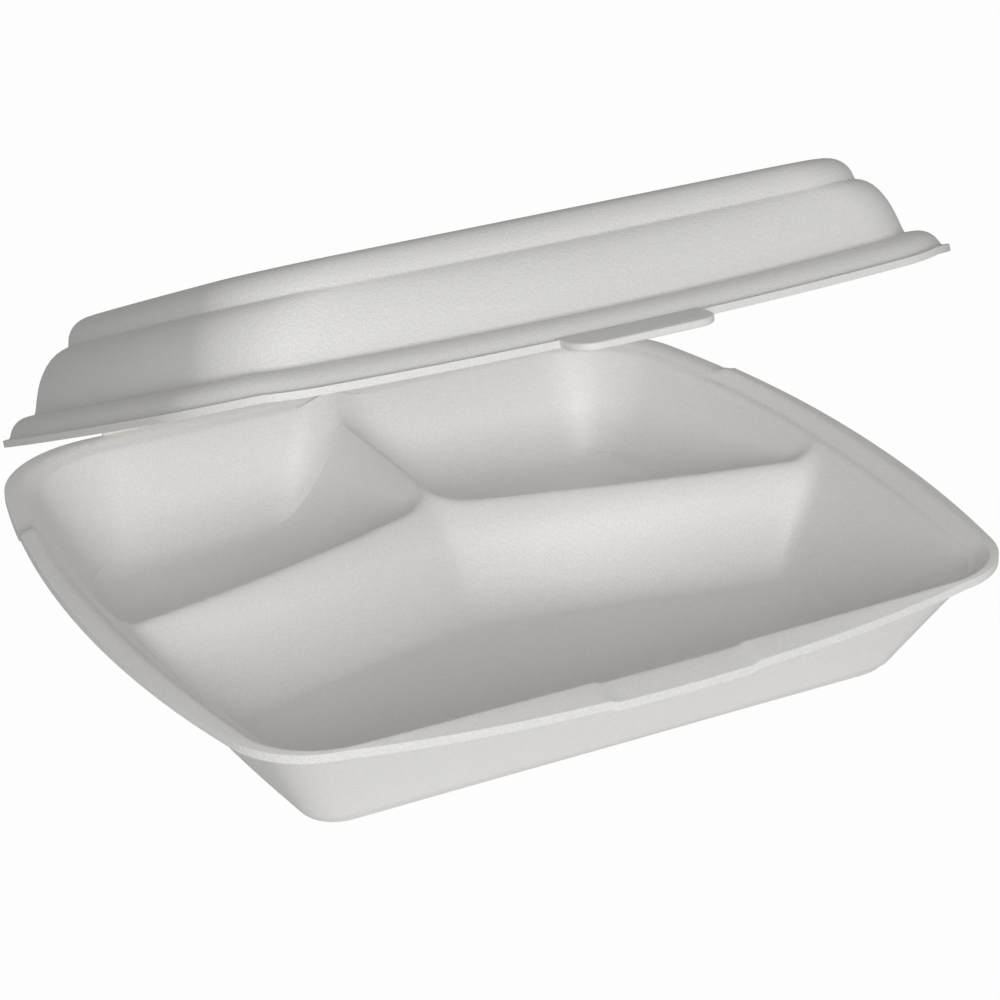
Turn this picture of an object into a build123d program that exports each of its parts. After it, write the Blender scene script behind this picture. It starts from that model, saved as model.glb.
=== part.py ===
from build123d import *
import os

# Hinged meal box with three compartments, pressed from one sheet of foamed polystyrene.
# The tray's underside rests on z = 0 with the middle of the rim above the origin.
# +X runs along the hinge, +Y points at the hinge and -Y at the opening edge. Sizes in millimetres.

SHEET = 2.4              # thickness of the foam sheet, measured straight down
DIE_REACH = 150.0        # half size of the block that the sheet is pressed over
BLOCK_DEPTH = 20.0       # how far that block goes below the table

# Tray, plan sizes: (half width, widest at y, front y, front corner x, front corner y, back y, back corner x)
TRIM = (120.0, -3.4, -110.5, 107.5, -98.9, 110.5, 102.2)     # die-cut edge
CREST = (115.2, 8.0, -102.3, 105.9, -101.6, 125.0, 105.0)    # top of the raised collar
CREASE = (111.8, 10.0, -99.1, 102.5, -98.5, 125.0, 102.0)    # foot of the collar, outer side of the ledge
WALL_TOP = (109.9, 6.0, -97.0, 100.8, -96.4, 102.5, 98.5)    # where the wall meets the ledge
WALL_FOOT = (89.5, 0.0, -74.6, 85.5, -74.6, 88.5, 85.5)      # where the wall would meet the floor

# Tray, heights
FLOOR = SHEET
DIVIDER_TOP = 30.0
LEDGE = 35.0
CREST_HEIGHT = 38.8
REAR_RIM = 36.6
FLANGE_DROP = 4.6        # fall of the flange over FLANGE_RUN
FLANGE_RUN = 18.0
COLLAR_BACK = 55.0       # the collar runs from here forwards, round the front
TRIM_RADII = (26.0, 37.5)
CREST_RADIUS = 22.0
CREASE_RADIUS = 20.0
FOOT_RADIUS = 9.0
TOP_RADII = (19.0, 30.0)

# Dividers: a wide V of two arms across the box and one straight divider behind it.
# Each row is (height, y of the V's front face at three stations, y of its back face there,
# half width of the straight divider).
ARM_STATIONS = (0.0, 50.0, 125.0)
DIVIDERS = (
    (-5.0, (2.2, -8.6, -27.5), (48.5, 31.6, 16.4), 22.2),
    (FLOOR, (7.8, -4.9, -22.5), (44.8, 27.9, 12.7), 18.3),
    (26.0, (26.0, 7.0, -6.5), (33.0, 16.1, 0.9), 6.0),
    (28.6, (27.9, 8.8, -4.5), (31.8, 14.8, -0.4), 4.4),
    (DIVIDER_TOP, (29.0, 10.3, -3.2), (30.8, 13.6, -1.4), 2.6),
)

# Landing for the lid's tab in the front flange
LANDING_WIDTH = 42.0
LANDING_HEIGHT = 37.6
LANDING_BACK = -98.9

# Lid, plan sizes in the closed position, in the same order as the tray's
LIP = (115.5, -4.8, -106.6, 109.0, -96.8, 105.5, 106.2)
BEAD_BACK = (106.5, -4.8, -95.4, 100.8, -86.2, 92.6, 98.3)
TIER = (95.6, -4.8, -87.8, 91.0, -85.7, 77.2, 90.9)
LIP_RADII = (40.7, 44.8)
BEAD_RADII = (26.0, 36.0)
TIER_RADII = (30.0, 34.0)

# Lid, heights over the underside of its lip
LIP_HEIGHT = 1.8
BEAD_HEIGHT = 7.2
TIER_HEIGHT = 23.7
TOP_HEIGHT = 31.0
LID_WALL = 1.6
LID_SHEET = 2.0
# Rounded sections as (share of the run, share of the rise)
BEAD_CURVE = ((0.19, 0.0), (0.27, 0.45), (0.45, 0.82), (0.72, 0.98), (1.0, 1.0))
BAND_CURVE = ((0.0, 0.0), (0.08, 0.2), (0.28, 0.58), (0.6, 0.86), (1.0, 1.0))
TOP_INSET = 9.0
TOP_CURVE = ((0.0, 0.0), (0.07, 0.36), (0.27, 0.72), (0.61, 0.94), (1.0, 1.0))

TAB_WIDTH = 41.0
TAB_REACH = 10.0
TAB_ROOT = 3.0
TAB_FALL = 2.9           # how far the tab slopes down over its reach and root
TAB_RADIUS = 6.0

# Hinge crease along the tray's rear edge, and how far the lid stands open
HINGE_Y = 111.3
HINGE_Z = 36.9
LID_CLOSED_Z = 39.35
OPEN_ANGLE = 23.25
HINGE_HALF_LENGTH = 68.0
WEB_THICKNESS = 1.0
WEB_REACH = 7.5          # from the hinge line into the lip
WEB_RISE = 3.35


def blend(first, second, share):
    """Sizes part of the way from one set to another."""
    return tuple(a + (b - a) * share for a, b in zip(first, second))


def outline(level, sizes, front_radius, back_radius):
    """Rim outline at a height: bowed sides, bowed front, straight back and four round corners."""
    half, widest, front, corner_x, corner_y, back, back_x = sizes
    with BuildSketch(Plane.XY.offset(level)) as face:
        with BuildLine():
            ThreePointArc((-corner_x, corner_y), (0, front), (corner_x, corner_y))
            ThreePointArc((corner_x, corner_y), (half, widest), (back_x, back))
            Line((back_x, back), (-back_x, back))
            ThreePointArc((-back_x, back), (-half, widest), (-corner_x, corner_y))
        make_face()
        fillet(face.vertices().group_by(Axis.Y)[0], front_radius)
        fillet(face.vertices().group_by(Axis.Y)[-1], back_radius)
    return face.sketch


def grown(sizes, amount):
    """The same outline pushed outwards by an amount."""
    half, widest, front, corner_x, corner_y, back, back_x = sizes
    return (half + amount, widest, front - amount, corner_x + amount, corner_y - amount,
            back + amount, back_x + amount)


def stack(sections):
    """Solid through outlines given from the bottom up as (height, sizes, front radius, back radius)."""
    with BuildPart() as solid:
        for level, sizes, front_radius, back_radius in sections:
            add(outline(level, sizes, front_radius, back_radius))
        loft(ruled=True)
    return solid.part


def divider_face(row, straight):
    """Plan of the V at one height, or of the straight divider behind it."""
    level, front, back, half = row
    middle, station, end = ARM_STATIONS
    with BuildSketch(Plane.XY.offset(level)) as face:
        with BuildLine():
            if straight:
                Polyline((-half, front[0]), (half, front[0]), (half, DIE_REACH), (-half, DIE_REACH), close=True)
            else:
                Polyline((middle, front[0]), (station, front[1]), (end, front[2]), (end, back[2]),
                         (station, back[1]), (middle, back[0]), (-station, back[1]), (-end, back[2]),
                         (-end, front[2]), (-station, front[1]), close=True)
        make_face()
    return face.sketch


def divider(straight):
    """One divider as a solid with sloping sides and a rounded top."""
    with BuildPart() as solid:
        for row in DIVIDERS:
            add(divider_face(row, straight))
        loft(ruled=True)
    return solid.part


def box_between(low, high):
    """Plain box from its lowest corner to its highest."""
    size = [b - a for a, b in zip(low, high)]
    with BuildPart() as solid:
        with Locations(tuple(low)):
            Box(*size, align=(Align.MIN, Align.MIN, Align.MIN))
    return solid.part


# The tray's upper surface as a solid: a flange sloping outwards from the crest of the collar
flange = stack((
    (-BLOCK_DEPTH, grown(CREST, FLANGE_RUN), CREST_RADIUS + FLANGE_RUN, CREST_RADIUS + FLANGE_RUN),
    (CREST_HEIGHT - FLANGE_DROP, grown(CREST, FLANGE_RUN), CREST_RADIUS + FLANGE_RUN, CREST_RADIUS + FLANGE_RUN),
    (CREST_HEIGHT, CREST, CREST_RADIUS, CREST_RADIUS),
))

# The collar's opening, used in front of the hinge end only
collar_opening = stack((
    (LEDGE, CREASE, CREASE_RADIUS, CREASE_RADIUS),
    (LEDGE + 0.4, grown(CREASE, 0.3), CREASE_RADIUS, CREASE_RADIUS),
    (CREST_HEIGHT - 0.6, grown(CREST, -1.4), CREST_RADIUS - 1, CREST_RADIUS),
    (CREST_HEIGHT + 0.1, CREST, CREST_RADIUS, CREST_RADIUS),
))

# The basin inside the ledge, rolled over at the top for the plain rim beside the hinge
basin = stack((
    (FLOOR, blend(WALL_FOOT, WALL_TOP, -0.04), FOOT_RADIUS, FOOT_RADIUS),
    (FLOOR + 1.2, blend(WALL_FOOT, WALL_TOP, 0.01), FOOT_RADIUS, FOOT_RADIUS),
    (FLOOR + 4.0, blend(WALL_FOOT, WALL_TOP, 0.12), FOOT_RADIUS + 1.2, FOOT_RADIUS + 2.5),
    (LEDGE, WALL_TOP, TOP_RADII[0], TOP_RADII[1]),
))
rolled_rim = stack((
    (LEDGE, WALL_TOP, TOP_RADII[0], TOP_RADII[1]),
    (LEDGE + 1.3, grown(WALL_TOP, 1.3), TOP_RADII[0], TOP_RADII[1]),
    (REAR_RIM + 0.05, grown(WALL_TOP, 3.8), TOP_RADII[0], TOP_RADII[1] + 1),
))

with BuildPart() as block:
    add(flange)
    add(box_between((-DIE_REACH, COLLAR_BACK, REAR_RIM), (DIE_REACH, 2 * DIE_REACH, 60)), mode=Mode.SUBTRACT)
    with BuildPart(mode=Mode.PRIVATE) as front_part:
        add(collar_opening)
        add(box_between((-DIE_REACH, -DIE_REACH, 0), (DIE_REACH, COLLAR_BACK, 60)), mode=Mode.INTERSECT)
    with BuildPart(mode=Mode.PRIVATE) as rear_part:
        add(rolled_rim)
        add(box_between((-DIE_REACH, COLLAR_BACK, 0), (DIE_REACH, 2 * DIE_REACH, 60)), mode=Mode.INTERSECT)
    add(front_part.part, mode=Mode.SUBTRACT)
    add(rear_part.part, mode=Mode.SUBTRACT)
    add(basin, mode=Mode.SUBTRACT)
    with BuildPart(mode=Mode.PRIVATE) as ridges:
        add(divider(False))
        add(divider(True))
        add(basin, mode=Mode.INTERSECT)
    add(ridges.part)
    add(box_between((-LANDING_WIDTH / 2, -DIE_REACH, LANDING_HEIGHT), (LANDING_WIDTH / 2, LANDING_BACK, 60)),
        mode=Mode.SUBTRACT)

# The sheet is the block less the same block lowered by the sheet's thickness, trimmed to the die line
with BuildPart() as tray:
    add(block.part)
    add(block.part.moved(Location((0, 0, -SHEET))), mode=Mode.SUBTRACT)
    with BuildPart(mode=Mode.PRIVATE) as die:
        with BuildSketch(Plane.XY.offset(-1)):
            add(outline(-1, TRIM, TRIM_RADII[0], TRIM_RADII[1]))
        extrude(amount=60)
    add(die.part, mode=Mode.INTERSECT)


def lid_rows(inset, drop):
    """Outlines up the lid's outer surface, or its inner one when inset and dropped."""
    rows = []
    for share, rise in BEAD_CURVE:
        sizes = blend(LIP, BEAD_BACK, share)
        radii = blend(LIP_RADII, BEAD_RADII, share)
        rows.append((LIP_HEIGHT + (BEAD_HEIGHT - LIP_HEIGHT) * rise, sizes, radii))
    for share, rise in BAND_CURVE[1:]:
        sizes = blend(BEAD_BACK, TIER, share)
        radii = blend(BEAD_RADII, TIER_RADII, share)
        rows.append((BEAD_HEIGHT + (TIER_HEIGHT - BEAD_HEIGHT) * rise, sizes, radii))
    for share, rise in TOP_CURVE[1:]:
        sizes = grown(TIER, -TOP_INSET * share)
        rows.append((TIER_HEIGHT + (TOP_HEIGHT - TIER_HEIGHT) * rise, sizes, TIER_RADII))
    return [(z - drop, grown(sizes, -inset), radii[0] - inset, radii[1] - inset) for z, sizes, radii in rows]


with BuildPart() as tab:
    with BuildSketch(Plane.YZ.offset(-TAB_WIDTH / 2)):
        with BuildLine():
            Polyline((LIP[2] + TAB_ROOT, 0), (LIP[2] + TAB_ROOT, LIP_HEIGHT),
                     (LIP[2] - TAB_REACH, LIP_HEIGHT - TAB_FALL), (LIP[2] - TAB_REACH, -TAB_FALL), close=True)
        make_face()
    extrude(amount=TAB_WIDTH)
    fillet(tab.edges().filter_by(Axis.Z).group_by(Axis.Y)[0], TAB_RADIUS)

with BuildPart() as lid:
    with BuildPart(mode=Mode.PRIVATE) as shell:
        add(stack(lid_rows(0, 0)))
        with BuildSketch(Plane.XY):
            add(outline(0, LIP, LIP_RADII[0], LIP_RADII[1]))
        extrude(amount=LIP_HEIGHT)
        add(tab.part)
    add(shell.part)
    inner = lid_rows(LID_WALL, LID_SHEET)
    add(stack([(-1.0, inner[0][1], inner[0][2], inner[0][3])] + [row for row in inner if row[0] > 0]),
        mode=Mode.SUBTRACT)

# Thin web of the same sheet between the lip and the hinge line
with BuildPart() as web:
    with BuildSketch(Plane.YZ.offset(-HINGE_HALF_LENGTH)):
        with BuildLine():
            Polyline((HINGE_Y, HINGE_Z - WEB_THICKNESS / 2), (HINGE_Y, HINGE_Z + WEB_THICKNESS / 2),
                     (HINGE_Y - WEB_REACH, HINGE_Z + WEB_RISE + WEB_THICKNESS / 2),
                     (HINGE_Y - WEB_REACH, HINGE_Z + WEB_RISE - WEB_THICKNESS / 2), close=True)
        make_face()
    extrude(amount=2 * HINGE_HALF_LENGTH)

closed = lid.part.moved(Location((0, 0, LID_CLOSED_Z)))
hinge = Axis((0, HINGE_Y, HINGE_Z), (-1, 0, 0))
with BuildPart() as standing_lid:
    add(closed.rotate(hinge, OPEN_ANGLE))
    add(web.part.rotate(hinge, OPEN_ANGLE))

os.makedirs("parts", exist_ok=True)
tray.part.label = "tray"
standing_lid.part.label = "lid"
export_step(tray.part, "parts/tray.step")
export_step(standing_lid.part, "parts/lid.step")
for name, built in (("tray", tray.part), ("lid", standing_lid.part)):
    bounds = built.bounding_box()
    print(name, len(built.solids()), round(built.volume), bounds.min, bounds.max)
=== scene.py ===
# %% [markdown]
# # A hinged foam meal box
# The box is pressed from one sheet of foamed polystyrene: a tray with three compartments and a stepped lid.
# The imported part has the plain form. Here each shell is made again as one smooth skin of about the same size,
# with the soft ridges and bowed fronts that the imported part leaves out.
# Lengths are in metres, +X runs along the hinge, +Y points at the hinge and the table is at z = 0.

import math

import bpy
import numpy as np
from mathutils import Matrix, Vector


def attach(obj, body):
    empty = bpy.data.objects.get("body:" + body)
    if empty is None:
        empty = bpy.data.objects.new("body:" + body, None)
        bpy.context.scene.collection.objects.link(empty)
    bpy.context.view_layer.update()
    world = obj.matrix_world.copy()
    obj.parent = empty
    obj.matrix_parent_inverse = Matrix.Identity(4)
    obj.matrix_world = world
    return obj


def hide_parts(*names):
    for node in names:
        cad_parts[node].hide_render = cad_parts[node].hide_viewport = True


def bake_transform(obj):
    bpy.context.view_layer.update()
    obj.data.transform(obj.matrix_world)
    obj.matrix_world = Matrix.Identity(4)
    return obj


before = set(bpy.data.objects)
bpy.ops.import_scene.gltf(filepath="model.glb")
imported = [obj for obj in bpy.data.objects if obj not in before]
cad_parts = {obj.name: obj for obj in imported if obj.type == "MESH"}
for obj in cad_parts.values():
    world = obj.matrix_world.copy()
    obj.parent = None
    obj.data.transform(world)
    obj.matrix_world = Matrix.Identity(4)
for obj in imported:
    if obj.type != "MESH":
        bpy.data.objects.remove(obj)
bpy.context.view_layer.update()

# %% [markdown]
# ## Foam
# Foamed polystyrene is off-white, slightly warm and matt, with a thin pressed skin that catches a soft sheen.
# Under the skin are flattened beads under a millimetre across. They show as a faint mottle and a fine grain.
# Both come from one group, so every piece shares the same grain and only its strength differs.
# The lid's skin is a little duller than the tray's, and its greyer colour is painted shade, since both are one
# sheet. Sliced foam is rougher than either.


# %% Shared foam grain as a node group
BEAD_SCALE, GRAIN_SCALE, GRAIN_DETAIL, BEAD_SHARE = 1300, 2400, 3, 0.6
DARKEST, LIGHTEST, BUMP_STRENGTH, SHEEN = 0.3, 1.1, 0.5, 0.9


def foam_group():
    group = bpy.data.node_groups.new("Foam grain", "ShaderNodeTree")
    sockets = group.interface
    sockets.new_socket("Colour", in_out="INPUT", socket_type="NodeSocketColor")
    sockets.new_socket("Mottle", in_out="INPUT", socket_type="NodeSocketFloat")
    sockets.new_socket("Grain depth", in_out="INPUT", socket_type="NodeSocketFloat")
    sockets.new_socket("Colour", in_out="OUTPUT", socket_type="NodeSocketColor")
    sockets.new_socket("Normal", in_out="OUTPUT", socket_type="NodeSocketVector")
    nodes, link = group.nodes, group.links.new
    given = nodes.new("NodeGroupInput")
    made = nodes.new("NodeGroupOutput")
    place = nodes.new("ShaderNodeTexCoord")
    beads = nodes.new("ShaderNodeTexVoronoi")
    beads.inputs["Scale"].default_value = BEAD_SCALE
    grain = nodes.new("ShaderNodeTexNoise")
    grain.inputs["Scale"].default_value = GRAIN_SCALE
    grain.inputs["Detail"].default_value = GRAIN_DETAIL
    both = nodes.new("ShaderNodeMath")
    both.operation = "MULTIPLY_ADD"
    both.inputs[1].default_value = BEAD_SHARE
    tone = nodes.new("ShaderNodeMapRange")
    tone.inputs["From Min"].default_value = DARKEST
    tone.inputs["From Max"].default_value = LIGHTEST
    tone.inputs["To Min"].default_value = -1
    tone.inputs["To Max"].default_value = 1
    amount = nodes.new("ShaderNodeMath")
    amount.operation = "MULTIPLY_ADD"
    amount.inputs[2].default_value = 1
    shade = nodes.new("ShaderNodeVectorMath")
    shade.operation = "SCALE"
    bump = nodes.new("ShaderNodeBump")
    bump.inputs["Strength"].default_value = BUMP_STRENGTH
    link(place.outputs["Object"], beads.inputs["Vector"])
    link(place.outputs["Object"], grain.inputs["Vector"])
    link(beads.outputs["Distance"], both.inputs[0])
    link(grain.outputs["Fac"], both.inputs[2])
    link(both.outputs[0], tone.inputs["Value"])
    link(tone.outputs["Result"], amount.inputs[0])
    link(given.outputs["Mottle"], amount.inputs[1])
    link(given.outputs["Colour"], shade.inputs[0])
    link(amount.outputs[0], shade.inputs["Scale"])
    link(both.outputs[0], bump.inputs["Height"])
    link(given.outputs["Grain depth"], bump.inputs["Distance"])
    link(shade.outputs["Vector"], made.inputs["Colour"])
    link(bump.outputs["Normal"], made.inputs["Normal"])
    return group


GRAIN = foam_group()


def foam(name, colour, mottle, depth, roughness):
    material = bpy.data.materials.new(name)
    material.use_nodes = True
    nodes, link = material.node_tree.nodes, material.node_tree.links.new
    surface = nodes["Principled BSDF"]
    surface.inputs["Roughness"].default_value = roughness
    surface.inputs["Specular IOR Level"].default_value = SHEEN
    look = nodes.new("ShaderNodeGroup")
    look.node_tree = GRAIN
    look.inputs["Colour"].default_value = (*colour, 1)
    look.inputs["Mottle"].default_value = mottle
    look.inputs["Grain depth"].default_value = depth
    link(look.outputs["Colour"], surface.inputs["Base Color"])
    link(look.outputs["Normal"], surface.inputs["Normal"])
    return material


SKIN = foam("Foam skin", (0.95, 0.942, 0.925), 0.06, 0.0002, 0.42)
# The lid's darker colour is painted shade: the lid and the tray are one sheet of the same foam.
LID_SKIN_PAINTED_SHADE = foam("Foam skin of the lid with painted shade", (0.84, 0.832, 0.815), 0.04, 0.00025, 0.5)
CUT = foam("Foam cut edge", (0.90, 0.893, 0.878), 0.08, 0.0004, 0.7)
print("materials", [m.name for m in (SKIN, LID_SKIN_PAINTED_SHADE, CUT)])

# %% [markdown]
# ## Plan outlines
# Every level of the box has the same kind of outline: bowed sides and front, straight back and round corners.
# Each bowed edge is an arc, given by its middle point and its end at the corner. Sizes are in millimetres, as
# (half width, y where it is widest, front y, front corner x and y, back y, back corner x).
# The depth of a point inside two edges, fillet included, is one formula, so the outline is where it is zero.

# %% Outline formula
MM = 0.001
SPOKES = 420
CENTRE_Y = -5.0
FARTHEST, HALVINGS, FINE_STEPS = 240.0, 36, 4000


def bowed_arc(peak, end_across, end_along):
    """Radius and centre offset of an arc that bows out to `peak` and passes its end point."""
    bow = max(peak - end_across, 0.05)
    radius = (end_along ** 2 + bow ** 2) / (2 * bow)
    return radius, peak - radius


def filleted(first, second, between, radius):
    """Depth inside two edges with a true fillet. `between` is the cosine between the edges' normals."""
    a, b = radius - first, radius - second
    apart = np.sqrt(np.maximum(a * a + b * b - 2 * a * b * between, 0) / (1 - between * between))
    in_corner = (a > between * b) & (b > between * a)
    return np.where(in_corner, radius - apart, np.minimum(first, second))


def depth_inside(x, y, sizes, radii):
    """How far points lie inside an outline, its corners rounded by (front, back) radii."""
    half, widest, front, corner_x, corner_y, back, back_x = sizes
    across = np.abs(x)
    front_radius, front_centre = bowed_arc(-front, -corner_y, corner_x)
    forward = front_radius - np.hypot(-y - front_centre, x)
    depths = []
    ends = ((forward, corner_x, corner_y, radii[0]), (back - y, back_x, back, radii[1]))
    for edge, end_x, end_y, radius in ends:
        side_radius, side_centre = bowed_arc(half, end_x, end_y - widest)
        side = side_radius - np.hypot(across - side_centre, y - widest)
        side_normal = ((end_x - side_centre) / side_radius, (end_y - widest) / side_radius)
        if end_y < widest:
            normal = (corner_x / front_radius, -(-corner_y - front_centre) / front_radius)
        else:
            normal = (0.0, 1.0)
        between = side_normal[0] * normal[0] + side_normal[1] * normal[1]
        depths.append(filleted(edge, side, between, radius))
    return np.where(y < widest, depths[0], depths[1])


def reach_along(angles, sizes, radii):
    """Distance from the centre to the outline along each spoke, found by halving."""
    low = np.zeros_like(angles)
    high = np.full_like(angles, FARTHEST)
    for _ in range(HALVINGS):
        middle = (low + high) / 2
        inside = depth_inside(middle * np.cos(angles), CENTRE_Y + middle * np.sin(angles), sizes, radii) > 0
        low = np.where(inside, middle, low)
        high = np.where(inside, high, middle)
    return (low + high) / 2


def mixed(first, second, share):
    """Sizes part of the way from one set to another."""
    return tuple(a + (b - a) * share for a, b in zip(first, second))


def even_spokes(sizes, radii, count):
    """Angles of spokes that cut an outline into steps of even length."""
    fine = np.linspace(-math.pi / 2, 1.5 * math.pi, FINE_STEPS)
    reach = reach_along(fine, sizes, radii)
    x, y = reach * np.cos(fine), reach * np.sin(fine)
    walked = np.concatenate([[0], np.cumsum(np.hypot(np.diff(x), np.diff(y)))])
    return np.interp(np.linspace(0, walked[-1], count + 1), walked, fine)


# %% [markdown]
# ## Sheet from a wrapped grid
# A flat grid is wrapped round the centre: one way runs round the spokes and the other from ring to ring.
# Welding closes the seam and the middle. Extruding the tray's faces straight down gives it its thickness,
# just as a sheet pressed between two tools is thinnest on its steepest walls.


# %% Wrapped grid
WELD = 0.03 * MM


def deselect():
    for thing in bpy.context.selected_objects:
        thing.select_set(False)


def wrapped_sheet(name, x, y, z):
    """Mesh from ring-by-spoke arrays of coordinates in millimetres, seam and middle welded."""
    rings, spokes = x.shape
    deselect()
    bpy.ops.mesh.primitive_grid_add(x_subdivisions=spokes - 1, y_subdivisions=rings - 1, size=2)
    piece = bpy.context.object
    piece.name = name
    mesh = piece.data
    flat = np.empty(len(mesh.vertices) * 3)
    mesh.vertices.foreach_get("co", flat)
    flat = flat.reshape(-1, 3)
    column = np.rint((flat[:, 0] + 1) / 2 * (spokes - 1)).astype(int)
    row = np.rint((flat[:, 1] + 1) / 2 * (rings - 1)).astype(int)
    placed = np.stack([x[row, column], y[row, column], z[row, column]], axis=1) * MM
    mesh.vertices.foreach_set("co", placed.ravel())
    mesh.update()
    bpy.ops.object.mode_set(mode="EDIT")
    bpy.ops.mesh.select_all(action="SELECT")
    bpy.ops.mesh.remove_doubles(threshold=WELD)
    bpy.ops.object.mode_set(mode="OBJECT")
    return piece


def thicken_down(piece, thickness):
    """Extrude all faces straight down, so that the upper skin gains an equal lower one."""
    bpy.ops.object.mode_set(mode="EDIT")
    bpy.ops.mesh.select_all(action="SELECT")
    bpy.ops.mesh.extrude_region_move(TRANSFORM_OT_translate={"value": (0, 0, -thickness * MM)})
    bpy.ops.mesh.select_all(action="SELECT")
    bpy.ops.mesh.normals_make_consistent(inside=False)
    bpy.ops.object.mode_set(mode="OBJECT")


def finish_foam(piece, body, node, skin, crisp=50):
    """Shade the skin smooth, keep the cut edge crisp, and put the piece on its body."""
    piece.data.materials.append(skin)
    piece.data.materials.append(CUT)
    deselect()
    piece.select_set(True)
    bpy.context.view_layer.objects.active = piece
    bpy.ops.object.shade_smooth_by_angle(angle=math.radians(crisp))
    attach(piece, body)
    if node:
        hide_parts(node)
    print(piece.name, len(piece.data.polygons), "faces")


# %% [markdown]
# ## Tray
# The rings run from the die-cut edge in: over the flange to the crest of the collar, down its inner face,
# across the narrow ledge, down the wall, round the fillet and over the floor.
# Beside the hinge the collar stops at a small step, and the rim is a plain roll a little lower.

# %% Tray sizes
SHEET, FLOOR, TABLE_GAP = 2.4, 2.4, 0.02
TRIM = (120.0, -3.4, -110.5, 107.5, -98.9, 110.5, 102.2)
CREST = (115.6, 4.0, -102.0, 104.9, -100.9, 107.0, 98.5)
CREASE = (111.8, 8.0, -99.0, 102.3, -98.2, 104.0, 96.0)
WALL_TOP = (109.7, 6.0, -97.0, 100.6, -96.4, 102.2, 94.5)
WALL_FOOT = (89.0, 0.0, -74.6, 85.5, -74.5, 86.5, 85.0)
TRIM_RADII, CREST_RADII, CREASE_RADII = (26.0, 37.5), (23.0, 36.0), (21.0, 35.0)
TOP_RADII, FOOT_RADII = (19.5, 33.0), (9.0, 11.0)
CREST_HEIGHT, FLANGE_SLOPE = 38.8, 0.259
BASIN_TOP, WALL_HEIGHT, FLOOR_RINGS, FLOOR_INSET = 35.0, 34.6, 67, 6.5
REAR_RIM, REAR_ROLL, STEP_Y, STEP_HALF = 37.0, 0.65, 57.0, 1.4
LANDING_DEPTH, LANDING_SIDE, LANDING_BACK = 0.8, (20.2, 21.6), (-99.6, -98.4)
CUT_ABOVE, LEVEL = 32.0, 0.02


# %% Soft joins between heights
def soft_max(a, b, k):
    h = np.maximum(k - np.abs(a - b), 0) / k
    return np.maximum(a, b) + h * h * k / 4


def soft_min(a, b, k):
    return -soft_max(-a, -b, k)


def ramp(value, start, end):
    share = np.clip((value - start) / (end - start), 0, 1)
    return share * share * (3 - 2 * share)


# %% [markdown]
# The dividers are ridges: two curved arms that meet in a wide V, and one straight ridge behind it.
# A line of the V is (y in the middle, slope, bend), followed outwards from a middle that is slightly rounded.
# Each flank is a sloping face, and a ridge is the lower of its two flanks, cut off flat and softened on top.
# Ridges join each other with a wide soft join, which gives the rear compartments their big round corners.


# %% Ridge heights
FRONT_FOOT, FRONT_EDGE, BACK_EDGE = (8.6, -0.25, 0.0), (28.3, -0.515, 0.00197), (34.0, -0.39, 0.00105)
MIDDLE_ROUNDING, MIDDLE_SHIFT = 6.0, 1.2
FLANK_FOOT, FRONT_RISE, BACK_LEVEL, FLANK_SLOPE = 3.0, 25.0, 30.0, 1.95
STRAIGHT_HALF, DIVIDER_TOP = 18.2, 31.4
RIDGE_JOIN, FRONT_JOIN, TOP_JOIN = 18.0, 5.0, 12.0
WALL_JOIN, WALL_JOIN_GROWTH, WALL_JOIN_SPAN = 8.0, 12.0, (8.0, 45.0)


def ridge_height(x, y):
    """Height of the dividers' surface at points given in millimetres."""
    out = np.sqrt(x * x + MIDDLE_ROUNDING) - MIDDLE_SHIFT
    foot, top, back_line = (a + b * out + c * out ** 2 for a, b, c in (FRONT_FOOT, FRONT_EDGE, BACK_EDGE))
    front = FLANK_FOOT + FRONT_RISE * (y - foot) / (top - foot)
    back = BACK_LEVEL - (y - back_line) * FLANK_SLOPE
    straight = FLANK_FOOT + (STRAIGHT_HALF - np.abs(x)) * FLANK_SLOPE
    both = soft_max(back, straight, RIDGE_JOIN)
    return soft_min(soft_min(front, both, FRONT_JOIN), DIVIDER_TOP, TOP_JOIN)


# %% Rings of the tray
angles = even_spokes(TRIM, TRIM_RADII, SPOKES)
cosines, sines = np.cos(angles), np.sin(angles)
trim = reach_along(angles, TRIM, TRIM_RADII)
crest = reach_along(angles, CREST, CREST_RADII)
crease = reach_along(angles, CREASE, CREASE_RADII)
wall_top = reach_along(angles, WALL_TOP, TOP_RADII)
rings, heights = [], []


def add_ring(reach, collar, plain):
    """One ring, with its height along the collar and its height along the plain rim at the back."""
    rings.append(reach)
    y = CENTRE_Y + reach * sines
    share = ramp(y, STEP_Y - STEP_HALF, STEP_Y + STEP_HALF)
    heights.append(collar * (1 - share) + plain * share)


flange = trim - crest
# Flange, as (share of its width, how much the crest's rounding takes off)
for share, rounding in (
    (0, 0), (0.12, 0), (0.3, 0), (0.5, 0), (0.68, 0.02), (0.82, 0.08), (0.92, 0.16), (1, 0.3),
):
    reach = trim + (crest - trim) * share
    sloped = CREST_HEIGHT - FLANGE_SLOPE * (1 - share) * flange - rounding
    add_ring(reach, sloped, REAR_RIM - REAR_ROLL * (1 - share) ** 2)
# Inner face of the collar, then the ledge, as (share of the width, height at the collar, height at the back)
for share, collar, plain in (
    (0.15, 38.25, 36.98), (0.32, 37.7, 36.85), (0.5, 37.0, 36.65), (0.66, 36.35, 36.4),
    (0.8, 35.8, 36.15), (0.9, 35.48, 35.9), (1.0, 35.33, 35.7),
):
    add_ring(crest + (crease - crest) * share, collar, plain)
for share, collar, plain in (
    (0.3, 35.28, 35.45), (0.6, 35.24, 35.1), (0.85, 35.1, 34.85), (1.0, 34.85, 34.5),
):
    add_ring(crease + (wall_top - crease) * share, collar, plain)
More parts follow.
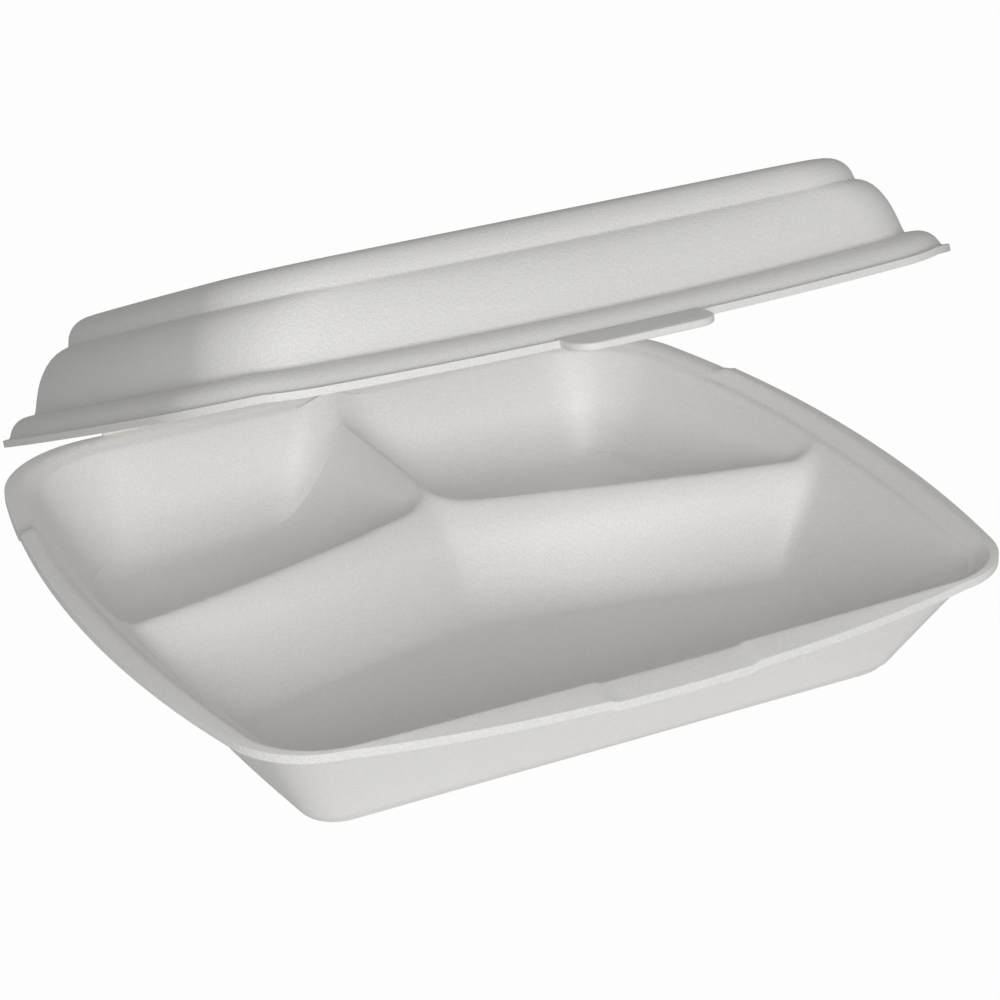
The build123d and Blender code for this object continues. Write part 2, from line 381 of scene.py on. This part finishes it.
# Wall, by height, then the fillet at its foot, as (how far outside the foot line, height)
for level in (34.0, 32.8, 31.2, 29.4, 27.5, 25.6, 23.6, 21.5, 19.4, 17.3, 15.2, 13.1, 11.1, 9.3, 7.8, 6.5):
    share = (WALL_HEIGHT - level) / (WALL_HEIGHT - FLOOR)
    reach = reach_along(angles, mixed(WALL_TOP, WALL_FOOT, share), mixed(TOP_RADII, FOOT_RADII, share))
    add_ring(reach, level, level)
foot = reach_along(angles, WALL_FOOT, FOOT_RADII)
for outside, level in (
    (1.9, 5.5), (1.2, 4.75), (0.3, 4.0), (-0.8, 3.4), (-2.1, 2.9), (-3.6, 2.58), (-5.2, 2.45),
):
    add_ring(foot + outside, np.full_like(foot, level), np.full_like(foot, level))
inner = foot - FLOOR_INSET
for i in range(FLOOR_RINGS + 1):
    add_ring(inner * (1 - i / FLOOR_RINGS), np.full_like(foot, FLOOR), np.full_like(foot, FLOOR))
reach = np.array(rings)
x, y = reach * cosines, CENTRE_Y + reach * sines
z = np.array(heights)
basin = z < BASIN_TOP
join = WALL_JOIN + WALL_JOIN_GROWTH * ramp(y, *WALL_JOIN_SPAN)
z = np.where(basin, soft_max(z, ridge_height(x, y), join), z)
print("tray rings", len(rings), "spokes", SPOKES, "heights", z.min(), z.max())

# %% [markdown]
# The lid's tab lands in a shallow recess of the front flange, so the rings there are pressed down a little.
# The die cuts straight down, so the cut faces are the ones up at the rim whose normals lie level.

# %% Landing and sheet
landing = (1 - ramp(np.abs(x), *LANDING_SIDE)) * (1 - ramp(y, *LANDING_BACK))
z = z - LANDING_DEPTH * landing
tray = wrapped_sheet("tray_shell", x, y, z)
thicken_down(tray, SHEET - TABLE_GAP)
for face in tray.data.polygons:
    if abs(face.normal.z) < LEVEL and face.center.z > CUT_ABOVE * MM:
        face.material_index = 1
finish_foam(tray, "tray", "tray", SKIN)

# %% [markdown]
# ## Lid
# The lid is built shut, from the lip in: a flat lip, a rounded bead, a steep band and a domed top.
# It is then turned about the hinge line to where it stands open. Its bowed front edge dips as it bows out.

# %% Lid sizes
LIP = (115.4, -4.8, -106.5, 109.0, -94.7, 105.4, 106.2)
BEAD_BACK = (106.5, -4.8, -95.4, 99.0, -83.3, 92.6, 98.3)
TIER = (95.6, -4.8, -87.8, 90.4, -84.2, 77.2, 89.7)
LIP_RADII, BEAD_RADII, TIER_RADII = (40.7, 44.8), (26.0, 36.0), (30.0, 34.0)
LIP_TOP, BEAD_TOP, TIER_TOP, LID_TOP = 1.9, 7.2, 23.7, 30.9
LID_THICKNESS = 1.9
FRONT_DIP = 0.2
HINGE_Y, HINGE_Z, CLOSED_Z, OPEN_ANGLE = 111.3, 36.9, 39.35, math.radians(23.25)

# %% Rings of the lid
# Each section is a list of (share of the run inwards, share of the rise)
SECTION_BEAD = (
    (0, 0), (0.09, 0.0), (0.17, 0.01), (0.21, 0.1), (0.25, 0.27), (0.3, 0.45), (0.37, 0.62),
    (0.46, 0.77), (0.57, 0.89), (0.7, 0.965), (0.83, 0.99), (0.93, 0.985), (1.0, 1.0),
)
SECTION_BAND = (
    (0.025, 0.035), (0.06, 0.11), (0.1, 0.21), (0.15, 0.32), (0.21, 0.44), (0.28, 0.55), (0.37, 0.66),
    (0.47, 0.76), (0.59, 0.85), (0.72, 0.92), (0.86, 0.97), (0.96, 0.99), (1.0, 1.0),
)
SECTION_TOP = (
    (0.01, 0.05), (0.03, 0.16), (0.06, 0.3), (0.1, 0.42), (0.17, 0.56),
    (0.27, 0.7), (0.4, 0.82), (0.56, 0.91), (0.76, 0.97), (1.0, 1.0),
)
TOP_RUN, TOP_RINGS, CROWN = 9.0, 22, 0.1
lid_angles = even_spokes(LIP, LIP_RADII, SPOKES)
cosines, sines = np.cos(lid_angles), np.sin(lid_angles)
rings, heights = [], []


def lid_ring(sizes, radii, height, closer=0.0):
    """One ring of the lid, `closer` millimetres inside its outline."""
    reach = reach_along(lid_angles, sizes, radii) - closer
    y = CENTRE_Y + reach * sines
    dip = FRONT_DIP * np.maximum(sizes[4] - y, 0)
    rings.append(reach)
    heights.append(height - dip)


for share, rise in SECTION_BEAD:
    height = LIP_TOP + (BEAD_TOP - LIP_TOP) * rise
    lid_ring(mixed(LIP, BEAD_BACK, share), mixed(LIP_RADII, BEAD_RADII, share), height)
for share, rise in SECTION_BAND:
    height = BEAD_TOP + (TIER_TOP - BEAD_TOP) * rise
    lid_ring(mixed(BEAD_BACK, TIER, share), mixed(BEAD_RADII, TIER_RADII, share), height)
for share, rise in SECTION_TOP:
    lid_ring(TIER, TIER_RADII, TIER_TOP + (LID_TOP - TIER_TOP) * rise, TOP_RUN * share)
crown = reach_along(lid_angles, TIER, TIER_RADII) - TOP_RUN
for i in range(1, TOP_RINGS + 1):
    rings.append(crown * (1 - i / TOP_RINGS))
    heights.append(np.full_like(crown, LID_TOP + CROWN * (i / TOP_RINGS)))
reach = np.array(rings)
x, y = reach * cosines, CENTRE_Y + reach * sines
z = np.array(heights)
lid = wrapped_sheet("lid_shell", x, y, z)
print("lid rings", len(rings))

# %% [markdown]
# A Solidify modifier gives the lid an even thickness on the inside, because its walls are too steep
# to be extruded straight down.

# %% Lid thickness and pose
bpy.ops.object.mode_set(mode="EDIT")
bpy.ops.mesh.select_all(action="SELECT")
bpy.ops.mesh.normals_make_consistent(inside=False)
bpy.ops.object.mode_set(mode="OBJECT")
if lid.data.polygons[len(lid.data.polygons) // 2].normal.z < 0:
    lid.data.flip_normals()
solid = lid.modifiers.new("Thickness", "SOLIDIFY")
solid.thickness = LID_THICKNESS * MM
solid.offset = -1
bpy.ops.object.modifier_apply(modifier=solid.name)


def swing_open(piece):
    """Lift a piece from the closed lid's frame onto the tray and turn it open about the hinge line."""
    hinge = Vector((0, HINGE_Y, HINGE_Z)) * MM
    lift = Matrix.Translation((0, 0, CLOSED_Z * MM))
    turn = Matrix.Translation(hinge) @ Matrix.Rotation(-OPEN_ANGLE, 4, "X") @ Matrix.Translation(-hinge)
    piece.data.transform(turn @ lift)
    piece.data.update()


swing_open(lid)
finish_foam(lid, "lid", "lid", LID_SKIN_PAINTED_SHADE, crisp=60)

# %% [markdown]
# The tab is a tongue of the same sheet. It starts inside the lip and slopes down and out, with round corners.

# %% Tab
TAB_WIDTH, TAB_ROOT_Y, TAB_TIP_Y, TAB_THICK = 40.0, -103.0, -116.2, 2.0
TAB_SHIFT, TAB_MIDDLE_Z, TAB_SLOPE, TAB_ROUNDING = -2.0, -0.6, 13, 6.5
deselect()
bpy.ops.mesh.primitive_cube_add(size=1, location=(TAB_SHIFT * MM, (TAB_ROOT_Y + TAB_TIP_Y) / 2 * MM, 0))
tab = bpy.context.object
tab.name = "lid_tab"
tab.scale = (TAB_WIDTH * MM, (TAB_ROOT_Y - TAB_TIP_Y) * MM, TAB_THICK * MM)
bpy.ops.object.transform_apply(location=True, rotation=True, scale=True)
bpy.ops.object.mode_set(mode="EDIT")
bpy.ops.mesh.select_mode(type="EDGE")
bpy.ops.mesh.select_all(action="DESELECT")
bpy.ops.object.mode_set(mode="OBJECT")
tip_y = TAB_TIP_Y * MM
for edge in tab.data.edges:
    ends = [tab.data.vertices[i].co for i in edge.vertices]
    edge.select = all(abs(c.y - tip_y) < 1e-6 for c in ends) and abs(ends[0].x - ends[1].x) < 1e-6
bpy.ops.object.mode_set(mode="EDIT")
bpy.ops.mesh.bevel(offset=TAB_ROUNDING * MM, segments=12, affect="EDGES")
bpy.ops.object.mode_set(mode="OBJECT")
rounding = tab.modifiers.new("Soft edges", "BEVEL")
rounding.width, rounding.segments, rounding.limit_method = 0.45 * MM, 3, "ANGLE"
bpy.ops.object.modifier_apply(modifier=rounding.name)
root = Matrix.Translation((0, TAB_ROOT_Y * MM, TAB_MIDDLE_Z * MM))
slope = Matrix.Rotation(math.radians(TAB_SLOPE), 4, "X")
tab.data.transform(root @ slope @ Matrix.Translation((0, -TAB_ROOT_Y * MM, 0)))
swing_open(tab)
finish_foam(tab, "lid", None, LID_SKIN_PAINTED_SHADE)

# %% [markdown]
# ## Living hinge
# A thin crushed strip of the sheet joins the rear edges. It is built in place for the open lid, bowed a little
# outwards from its lower edge at the tray to its upper edge at the lid, and is attached to neither body.

# %% Hinge strip
STRIP_HALF, STRIP_THICK, BULGE = 70.0, 0.9, 0.9
low_edge, high_edge = Vector((0, 109.9, 35.6)) * MM, Vector((0, 107.2, 41.4)) * MM
deselect()
bpy.ops.mesh.primitive_grid_add(x_subdivisions=20, y_subdivisions=10, size=2)
strip = bpy.context.object
strip.name = "hinge_strip"
for vertex in strip.data.vertices:
    share = (vertex.co.y + 1) / 2
    place = low_edge.lerp(high_edge, share)
    outward = BULGE * MM * math.sin(math.pi * share)
    vertex.co = (vertex.co.x * STRIP_HALF * MM, place.y + outward, place.z)
solid = strip.modifiers.new("Thickness", "SOLIDIFY")
solid.thickness, solid.offset = STRIP_THICK * MM, 0
bpy.ops.object.modifier_apply(modifier=solid.name)
bpy.ops.object.mode_set(mode="EDIT")
bpy.ops.mesh.select_all(action="SELECT")
bpy.ops.mesh.normals_make_consistent(inside=False)
bpy.ops.object.mode_set(mode="OBJECT")
strip.data.materials.append(SKIN)
bpy.ops.object.shade_smooth_by_angle(angle=math.radians(50))
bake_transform(strip)
print("hinge strip", tuple(strip.dimensions))

# %% [markdown]
# ## Floor, light and camera
# The box stands on white. The floor looks white to the camera, but still bounces light on the foam.
# One soft light stands low in front, so upright faces at the front are brightest and the floors are greyer.

# %% White floor
CAMERA_WHITE, FLOOR_GREY, SURROUND_STRENGTH = (0.985, 0.985, 0.985, 1), (0.8, 0.8, 0.8, 1), 0.33
GROUND_SIZE, GROUND_Z = 30, -0.0005


def show_to_camera(tree, usual, shown, output):
    """Show one shader to the camera and leave the usual one to every bounce of light."""
    seen = tree.nodes.new("ShaderNodeLightPath")
    choice = tree.nodes.new("ShaderNodeMixShader")
    tree.links.new(seen.outputs["Is Camera Ray"], choice.inputs["Fac"])
    tree.links.new(usual, choice.inputs[1])
    tree.links.new(shown, choice.inputs[2])
    tree.links.new(choice.outputs["Shader"], output)


bpy.ops.mesh.primitive_plane_add(size=GROUND_SIZE, location=(0, 0, GROUND_Z))
floor = bpy.context.object
floor.name = "Floor"
ground = bpy.data.materials.new("White floor")
ground.use_nodes = True
nodes = ground.node_tree.nodes
matt = nodes["Principled BSDF"]
matt.inputs["Base Color"].default_value = FLOOR_GREY
matt.inputs["Roughness"].default_value = 0.9
white = nodes.new("ShaderNodeEmission")
white.inputs["Color"].default_value = CAMERA_WHITE
surface = nodes["Material Output"].inputs["Surface"]
show_to_camera(ground.node_tree, matt.outputs["BSDF"], white.outputs["Emission"], surface)
floor.data.materials.append(ground)
print("floor", floor.name, "at z", GROUND_Z)

# %% White surroundings
world = bpy.data.worlds.new("White surroundings")
bpy.context.scene.world = world
world.use_nodes = True
nodes = world.node_tree.nodes
soft = nodes["Background"]
soft.inputs["Color"].default_value = (1, 1, 1, 1)
soft.inputs["Strength"].default_value = SURROUND_STRENGTH
bright = nodes.new("ShaderNodeBackground")
bright.inputs["Color"].default_value = CAMERA_WHITE
surface = nodes["World Output"].inputs["Surface"]
show_to_camera(world.node_tree, soft.outputs["Background"], bright.outputs["Background"], surface)
print("surroundings", world.name, "strength", SURROUND_STRENGTH)

# %% Studio light
TARGET = Vector((0.0063, 0.0019, 0.0403))
LIGHT_PLACE, LIGHT_SIZE, LIGHT_POWER = Vector((-0.55, -1.75, 0.62)), 0.7, 17
panel = bpy.data.lights.new("Front", "AREA")
panel.size, panel.energy = LIGHT_SIZE, LIGHT_POWER
light = bpy.data.objects.new("Front", panel)
bpy.context.scene.collection.objects.link(light)
light.location = LIGHT_PLACE
light.rotation_mode = "QUATERNION"
light.rotation_quaternion = (TARGET - LIGHT_PLACE).to_track_quat("-Z", "Y")
print("light", light.name, "at", tuple(round(c, 2) for c in LIGHT_PLACE))

# %% Camera
AZIMUTH, ELEVATION, ROLL = (math.radians(a) for a in (-26.939, 24.70, -1.633))
DISTANCE, LENS, SENSOR = 0.88216, 114.37, 36
back = Vector((
    math.sin(AZIMUTH) * math.cos(ELEVATION),
    -math.cos(AZIMUTH) * math.cos(ELEVATION),
    math.sin(ELEVATION),
))
right = Vector((0, 0, 1)).cross(back).normalized()
up = back.cross(right)
turned_right = math.cos(ROLL) * right + math.sin(ROLL) * up
turned_up = -math.sin(ROLL) * right + math.cos(ROLL) * up
lens = bpy.data.cameras.new("Camera")
lens.lens, lens.sensor_width = LENS, SENSOR
camera = bpy.data.objects.new("Camera", lens)
bpy.context.scene.collection.objects.link(camera)
turn = Matrix((turned_right, turned_up, back)).transposed().to_4x4()
camera.matrix_world = Matrix.Translation(TARGET + back * DISTANCE) @ turn
bpy.context.scene.camera = camera
bpy.context.scene.view_settings.view_transform = "Standard"
print("camera at", tuple(round(c, 4) for c in camera.matrix_world.translation))
